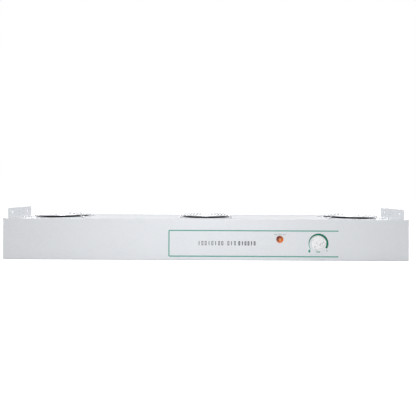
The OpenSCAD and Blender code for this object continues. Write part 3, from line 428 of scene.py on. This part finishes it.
# ---------------------------------------------------------------- ways to model a piece

def add_piece(name, mesh, finish, body):
    """Puts a mesh in the scene as a piece that rides on a body."""
    piece = bpy.data.objects.new(name, mesh)
    scene.collection.objects.link(piece)
    dress(piece, finish)
    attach(piece, body)


def bar(x, z, width, height):
    """Outline of an upright rectangle round its middle."""
    return [(x - width / 2, z - height / 2), (x + width / 2, z - height / 2),
            (x + width / 2, z + height / 2), (x - width / 2, z + height / 2)]


def arc_point(x, z, radius, degrees):
    """Point on a circle round (x, z), in degrees above +X."""
    angle = math.radians(degrees)
    return x + radius * math.cos(angle), z + radius * math.sin(angle)


def print_flat(name, outlines, finish, lift=0.0, body="housing"):
    """Prints closed outlines, given as (x, z), on the housing's face or lifted off it."""
    mesh = bpy.data.meshes.new(name)
    builder = bmesh.new()
    for outline in outlines:
        face = builder.faces.new([builder.verts.new((x, FRONT - INK - lift, z)) for x, z in outline])
        if face.normal.y > 0:
            face.normal_flip()
        back = bmesh.ops.extrude_face_region(builder, geom=[face])
        bmesh.ops.translate(builder, vec=(0, INK, 0),
                            verts=[v for v in back["geom"] if isinstance(v, bmesh.types.BMVert)])
    bmesh.ops.recalc_face_normals(builder, faces=builder.faces)
    builder.to_mesh(mesh)
    builder.free()
    add_piece(name, mesh, finish, body)


def print_text(name, text, x, z, size, finish, weight=0.0):
    """Plain numerals or a switch word on the face; weight makes the strokes wider."""
    curve = bpy.data.curves.new(name, "FONT")
    curve.body = text
    curve.size = size
    curve.align_x = "CENTER"
    curve.align_y = "CENTER"
    curve.offset = weight
    curve.extrude = INK / 2
    curve.resolution_u = 4
    source = bpy.data.objects.new(name + "_source", curve)
    source.matrix_world = (Matrix.Translation((x, FRONT - INK / 2, z))
                           @ Matrix.Rotation(math.pi / 2, 4, "X"))
    scene.collection.objects.link(source)
    bpy.context.view_layer.update()
    mesh = bpy.data.meshes.new_from_object(
        source.evaluated_get(bpy.context.evaluated_depsgraph_get()))
    mesh.transform(source.matrix_world)
    bpy.data.objects.remove(source)
    add_piece(name, mesh, finish, "housing")


def turn_profile(name, centre, axis, profile, finish, body="housing", steps=72):
    """Turns a closed outline of (radius, height) points about "Z" or the "front"'s normal."""
    mesh = bpy.data.meshes.new(name)
    builder = bmesh.new()
    rings = []
    for i in range(steps):
        angle = 2 * math.pi * i / steps
        ring = []
        for radius, height in profile:
            x, y = radius * math.cos(angle), radius * math.sin(angle)
            ring.append(builder.verts.new((x, y, height) if axis == "Z" else (x, -height, y)))
        rings.append(ring)
    for i in range(steps):
        here, there = rings[i], rings[(i + 1) % steps]
        for j in range(len(profile)):
            k = (j + 1) % len(profile)
            builder.faces.new((here[j], there[j], there[k], here[k]))
    bmesh.ops.recalc_face_normals(builder, faces=builder.faces)
    for face in builder.faces:
        face.smooth = True
    builder.to_mesh(mesh)
    builder.free()
    mesh.transform(Matrix.Translation(centre))
    add_piece(name, mesh, finish, body)


# ---------------------------------------------------------------- print on the face

def print_frame():
    """Line above, to the left and below, open on the right, with rounded corners."""
    left, right, low, high = -0.1015, 0.359, 0.0097, 0.0823
    width, corner = 3 * MM, 3.5 * MM

    def edge(inset):
        points = [(right, high - inset)]
        for z, start in ((high - corner, 90), (low + corner, 180)):
            points += [arc_point(left + corner, z, corner - inset, start + turn)
                       for turn in range(0, 91, 15)]
        return points + [(right, low + inset)]

    print_flat("print_frame", [edge(0) + edge(width)[::-1]], "ink_teal")


def print_title():
    """The title's rhythm in plain marks: three groups of hollow boxes and thin solid bars."""
    low, high = 0.0412, 0.0522
    box_width = 4.6 * MM
    thin_strokes = 1.3              # how many strokes wide a thin mark is
    groups = (  # start of the group, pitch of its marks, stroke, which marks are thin, how many marks
        (-0.0185, 9.0 * MM, 1.25 * MM, (0, 3, 5), 8),
        (0.0610, 8.8 * MM, 1.35 * MM, (1,), 3),
        (0.0905, 8.3 * MM, 1.75 * MM, (1, 4), 6),
    )
    outlines = []
    for start, pitch, stroke, thin, count in groups:
        for i in range(count):
            x = start + i * pitch
            if i in thin:
                outlines.append(bar(x, (low + high) / 2, stroke * thin_strokes, high - low))
                continue
            for side in (-1, 1):
                outlines.append(bar(x + side * (box_width - stroke) / 2, (low + high) / 2,
                                    stroke, high - low))
            for z in (low + stroke / 2, high - stroke / 2):
                outlines.append(bar(x, z, box_width - 2 * stroke, stroke))
    print_flat("print_title", outlines, "ink_dark")


def print_dial():
    """Scale round the knob: an arc that grows wider, a 0, a 9 and three marks between them."""
    outer, narrow, wide = 27 * MM, 1.6 * MM, 5.5 * MM
    start, end, steps = 216, -31, 64
    widest_from = 0.625             # of the way along the arc
    outer_edge, inner_edge = [], []
    for i in range(steps + 1):
        along = i / steps
        width = narrow + (wide - narrow) * min(1, along / widest_from)
        degrees = start + (end - start) * along
        outer_edge.append(arc_point(DIAL.x, DIAL.z, outer, degrees))
        inner_edge.append(arc_point(DIAL.x, DIAL.z, outer - width, degrees))
    print_flat("print_dial", [outer_edge + inner_edge[::-1]], "ink_dial")
    print_text("print_dial_0", "0", DIAL.x - 24.5 * MM, DIAL.z - 21 * MM, 9 * MM, "ink_mid", 0.8 * MM)
    print_text("print_dial_9", "9", DIAL.x + 22.6 * MM, DIAL.z - 19.8 * MM, 8 * MM, "ink_grey")
    pitch, mark_width, mark_height = 3.6 * MM, 2.6 * MM, 4.2 * MM
    print_flat("print_dial_mark",
               [bar(DIAL.x - 0.6 * MM + i * pitch, DIAL.z - 22.8 * MM, mark_width, mark_height)
                for i in (-1, 0, 1)], "ink_pale")


def print_on():
    """ON over the lamp, between two short rules."""
    z = LAMP.z + 13 * MM
    reach, width, height = 11.5 * MM, 8 * MM, 1.2 * MM
    print_text("print_on", "ON", LAMP.x, z, 6 * MM, "ink_grey")
    print_flat("print_on_rules", [bar(LAMP.x + side * reach, z, width, height) for side in (-1, 1)],
               "ink_grey")


# ---------------------------------------------------------------- inlets, lamp and knob

def add_inlet_beads():
    """Rounded bead along the edge of each opening in the top panel, under the guard."""
    panel_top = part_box("top_panel")[1].z
    bead_r, lift = 1.6 * MM, 0.6 * MM
    section = [arc_point(OPENING_R + bead_r, 0, bead_r, a) for a in range(0, 360, 30)]
    for side in ("left", "centre", "right"):
        shaft = middle(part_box("fan_shaft_" + side))
        turn_profile("inlet_bead_" + side, (shaft.x, 0, panel_top + lift), "Z", section,
                     "white_enamel")


def add_lamp_highlight():
    """Painted highlight on the top of the lens: a pale ring round a dark pip."""
    centre = (LAMP.x, FRONT, LAMP.z)
    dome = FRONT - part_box("lamp_lens")[0].y
    pip_r, inner, crest, outer = 1.05 * MM, 1.1 * MM, 1.8 * MM, 2.6 * MM
    turn_profile("lamp_highlight_ring", centre, "front",
                 [(inner, dome - 0.4 * MM), (inner, dome + 0.1 * MM), (crest, dome + 0.3 * MM),
                  (outer, dome), (outer, dome - 0.5 * MM)], "lamp_highlight")
    sunk, proud = dome - 0.3 * MM, dome + 0.05 * MM
    turn_profile("lamp_pip", centre, "front",
                 [(CORE_R, sunk), (CORE_R, proud), (pip_r, proud), (pip_r, sunk)],
                 "ink_dark")


def add_knob_marks():
    """Satin cap in the middle of the knob's grip, grey as painted shade of the grip, and the paint in
    its pointer's groove.
    """
    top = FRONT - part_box("speed_knob")[0].y
    cap_r, cap_top, sunk = 5.4 * MM, top + 0.35 * MM, top - 0.2 * MM
    turn_profile("knob_cap_shade", (DIAL.x, FRONT, DIAL.z), "front",
                 [(CORE_R, sunk), (CORE_R, cap_top), (cap_r - 0.3 * MM, cap_top),
                  (cap_r, cap_top - 0.25 * MM), (cap_r, sunk)],
                 "knob_cap_shade", "speed_control")
    near, far, half_w = 7.2 * MM, 12.0 * MM, 0.62 * MM
    turn = Matrix.Rotation(math.radians(POINTER_ANGLE), 2)
    corners = [turn @ Vector(p) for p in ((near, -half_w), (far, -half_w), (far, half_w),
                                          (near, half_w))]
    print_flat("knob_mark", [[(DIAL.x + p.x, DIAL.z + p.y) for p in corners]], "ink_dark",
               top - 0.25 * MM, "speed_control")


print_frame()
add_inlet_beads()
add_lamp_highlight()
add_knob_marks()
print_title()
print_dial()
print_on()
